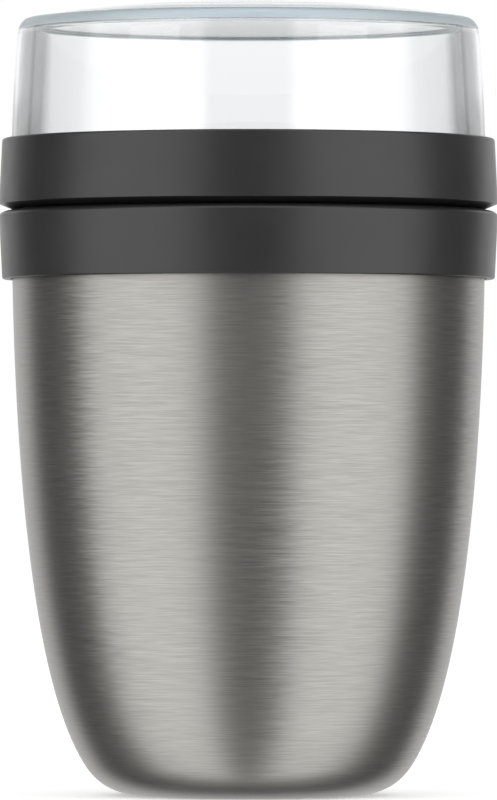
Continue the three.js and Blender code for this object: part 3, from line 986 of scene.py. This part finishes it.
def lid_collar_outline(at):
    """The lid's collar: the screw ring, the cup's socket, and the boss that holds the inner lid."""
    collar = settings().collar
    groove = at.cup_bore + collar.snap_depth
    groove_bottom = at.cup_bottom + collar.snap_lift
    groove_top = groove_bottom + collar.snap_height
    lip_bottom = at.plug_rim_top + SEAT_GAP
    return rounded([
        (at.thread_bore, at.lid_bottom),
        (at.ring - collar.groove_depth, at.lid_bottom),
        (at.ring, at.lid_bottom + collar.groove_upper),
        (at.ring - collar.taper, at.lid_top, 0.6 * MM),
        (at.cup_bore, at.lid_top, 0.3 * MM),
        (at.cup_bore, groove_top),
        (groove, groove_top),
        (groove, groove_bottom),
        (at.cup_bore, groove_bottom),
        (at.cup_bore, at.ledge_top),
        (at.stop_lip, at.ledge_top),
        (at.stop_lip, lip_bottom),
        (at.plug_bore, lip_bottom),
        (at.plug_bore, at.boss_bottom),
        (at.boss, at.boss_bottom),
        (at.boss, at.ledge_bottom),
        (at.thread_bore, at.ledge_bottom),
    ], cut=SOFT_EDGE)


class LUNCHPOT_OT_threads(bpy.types.Operator):
    """Build the screw threads on the neck and in the lid's collar"""

    bl_idname = "lunchpot.threads"
    bl_label = "Screw threads"

    def execute(self, context):
        at = levels()
        collar = settings().collar
        plastic = collar_plastic()
        lead = collar.thread_lead
        first = at.parting + collar.thread_foot
        climb = at.neck_top - collar.thread_head - first
        # The lid's ribs follow the neck's half a pitch lower, so that they hold it down.
        below = first - lead / collar.thread_starts / 2
        for name, body, radius, depth, bottom, lag in (
            ("thread_neck", "pot", at.neck, collar.thread_depth, first, 0.0),
            ("thread_lid", "lid", at.thread_bore, -collar.thread_depth, below, collar.thread_lag),
        ):
            rib = grow(name, thread_tree(), bpy.data.meshes.new(name), {
                "Radius": radius, "Depth": depth, "Root": collar.thread_root,
                "Crest": collar.thread_crest, "Rise": climb, "Turns": climb / lead,
                "Starts": collar.thread_starts, "Base Height": bottom + lag,
                "First Angle": 2 * math.pi * lag / lead, "Material": plastic,
            })
            place(rib, body, "grey_plastic")
        return {"FINISHED"}


class LUNCHPOT_OT_clear_cup(bpy.types.Operator):
    """Build the clear cup that stands upside down in the lid's collar"""

    bl_idname = "lunchpot.clear_cup"
    bl_label = "Clear cup"

    def execute(self, context):
        at = levels()
        cup = turned("cup_clear", cup_outline(at), clear_plastic(), ring=False)
        place(cup, "lid", "clear_plastic", "clear_cup")
        return {"FINISHED"}


def cup_outline(at):
    """The cup, mouth down, from the middle of its ceiling round the mouth and up to its apex."""
    cup = settings().cup
    top = at.cup - cup.taper
    corner_start = at.cup_apex - cup.corner_height
    crown_edge = at.cup_apex - cup.crown_rise
    crown = top - cup.corner
    ceiling = crown_edge - cup.rim_wall
    vault = ceiling + cup.ceiling_rise
    inside = top - cup.ceiling_wall
    corner_knee = (top - cup.corner_lean, crown_edge - cup.corner_drop)
    flank_foot = at.snap_top + SEAT_GAP
    flank_middle = ((at.cup + top) / 2 + cup.bulge, (flank_foot + corner_start) / 2)
    return rounded([
        *bezier((0.0, vault), (inside / 2, vault), (inside, ceiling), 24)[:-1],
        (inside, ceiling, cup.ceiling_round),
        (at.cup_mouth, at.cup_bottom, 1.5 * MM),
        (at.cup, at.cup_bottom, SOFT_EDGE),
        (at.snap, at.snap_bottom, SOFT_EDGE),
        (at.snap, at.snap_top, SOFT_EDGE),
        *bezier((at.cup, flank_foot), flank_middle, (top, corner_start), 24),
        *bezier((top, corner_start), corner_knee, (crown, crown_edge), 24)[1:],
        *bezier((crown, crown_edge), (crown / 2, at.cup_apex), (0.0, at.cup_apex), 32)[1:],
    ], steps=10, hold=0.1 * MM)


class LUNCHPOT_OT_inner_lid(bpy.types.Operator):
    """Build the inner lid with its grip bar"""

    bl_idname = "lunchpot.inner_lid"
    bl_label = "Inner lid"

    def execute(self, context):
        at = levels()
        plastic = plug_plastic()
        plug = turned("plug", plug_outline(at), plastic, ring=False)
        grip = grip_bar(at, plastic)
        union = plug.modifiers.new("grip", "BOOLEAN")
        union.operation = "UNION"
        union.solver = "EXACT"
        union.object = grip
        make_plain(plug)
        bpy.data.objects.remove(grip)
        place(plug, "plug", "white_plastic", "inner_lid")
        return {"FINISHED"}


def plug_outline(at):
    """The inner lid: a panel with a skirt, and a groove for its seal."""
    plug = settings().plug
    bore = at.plug - plug.wall
    panel_bottom = at.ledge_top - plug.panel
    panel = at.stop_lip - SEAT_GAP
    groove = at.plug - plug.seal_depth
    seal_low, seal_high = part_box("inner_lid_seal")
    groove_top = seal_high.z + SEAT_GAP
    groove_bottom = seal_low.z - SEAT_GAP
    return rounded([
        (0.0, panel_bottom, 0.0),
        (bore, panel_bottom, 0.8 * MM),
        (bore, at.plug_bottom, 0.5 * MM),
        (at.plug, at.plug_bottom, 0.5 * MM),
        (at.plug, groove_bottom),
        (groove, groove_bottom),
        (groove, groove_top),
        (at.plug, groove_top),
        (at.plug, at.plug_rim_top),
        (panel, at.plug_rim_top),
        (panel, at.ledge_top, 0.5 * MM),
        (0.0, at.ledge_top, 0.0),
    ], cut=SOFT_EDGE)


def grip_bar(at, material):
    """The bar across the inner lid's underside, which bites into its skirt and its panel."""
    plug = settings().plug
    bite = 0.5 * MM
    width = 2 * (at.plug - plug.wall + bite)
    panel_bottom = at.ledge_top - plug.panel
    work = bmesh.new()
    bmesh.ops.create_cube(work, size=1.0)
    for vertex in work.verts:
        vertex.co.x *= width
        vertex.co.y *= plug.grip_thickness
        vertex.co.z = panel_bottom + (bite if vertex.co.z > 0 else -plug.grip_height)
    mesh = bpy.data.meshes.new("grip")
    work.to_mesh(mesh)
    work.free()
    mesh.materials.append(material)
    grip = bpy.data.objects.new("grip", mesh)
    bpy.context.scene.collection.objects.link(grip)
    return grip


class LUNCHPOT_OT_seals(bpy.types.Operator):
    """Build the silicone seals"""

    bl_idname = "lunchpot.seals"
    bl_label = "Seals"

    def execute(self, context):
        at = levels()
        rubber = silicone()
        groove = at.plug - settings().plug.seal_depth
        for name, body, node, inner in (
            ("gasket_pot", "gasket", "pot_seal", at.boss + SEAT_GAP),
            ("gasket_cup", "lid", "cup_seal", at.cup_mouth),
            ("gasket_plug", "plug", "inner_lid_seal", groove + SEAT_GAP),
        ):
            low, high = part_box(node)
            corners = [(inner, low.z), (high.x, low.z), (high.x, high.z), (inner, high.z)]
            outline = rounded(corners, cut=0.35 * MM)
            place(turned(name, outline, rubber), body, "silicone", node)
        return {"FINISHED"}


class LUNCHPOT_OT_vacuum_parts(bpy.types.Operator):
    """Finish the pieces sealed inside the double wall, which keep their CAD shapes"""

    bl_idname = "lunchpot.vacuum_parts"
    bl_label = "Vacuum parts"

    def execute(self, context):
        for node, material in (
            ("heat_shield", copper_foil()),
            ("getter_cup", liner_steel()),
            ("getter", sintered_getter()),
            ("port_seal", fused_glass()),
        ):
            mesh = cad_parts[node].data
            mesh.materials.clear()
            mesh.materials.append(material)
        return {"FINISHED"}


OPERATORS = (
    LUNCHPOT_OT_stage,
    LUNCHPOT_OT_steel_pot,
    LUNCHPOT_OT_collars,
    LUNCHPOT_OT_threads,
    LUNCHPOT_OT_clear_cup,
    LUNCHPOT_OT_inner_lid,
    LUNCHPOT_OT_seals,
    LUNCHPOT_OT_vacuum_parts,
)


class LUNCHPOT_PT_panel(bpy.types.Panel):
    """Lists the steps that build the lunch pot"""

    bl_idname = "LUNCHPOT_PT_panel"
    bl_label = "Insulated lunch pot"
    bl_space_type = "VIEW_3D"
    bl_region_type = "UI"
    bl_category = "Lunch Pot"

    def draw(self, context):
        for operator in OPERATORS:
            self.layout.operator(operator.bl_idname)
        for group in ("pot", "collar", "cup", "plug", "colours"):
            box = self.layout.box()
            values = getattr(context.scene.lunch_pot, group)
            for name in values.bl_rna.properties.keys():
                if name not in ("rna_type", "name"):
                    box.prop(values, name)


CLASSES = (
    PotSizes, CollarSizes, CupSizes, PlugSizes, FinishColours, LunchPotSettings,
    *OPERATORS, LUNCHPOT_PT_panel,
)


def register():
    for cls in CLASSES:
        bpy.utils.register_class(cls)
    bpy.types.Scene.lunch_pot = PointerProperty(type=LunchPotSettings)


def unregister():
    del bpy.types.Scene.lunch_pot
    for cls in reversed(CLASSES):
        bpy.utils.unregister_class(cls)


def main():
    register()
    for operator in OPERATORS:
        group, name = operator.bl_idname.split(".")
        getattr(getattr(bpy.ops, group), name)()
    boxes = {"cad": CAD_BOX, "visual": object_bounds()}
    plain = {label: [list(corner) for corner in box] for label, box in boxes.items()}


if __name__ == "__main__":
    main()
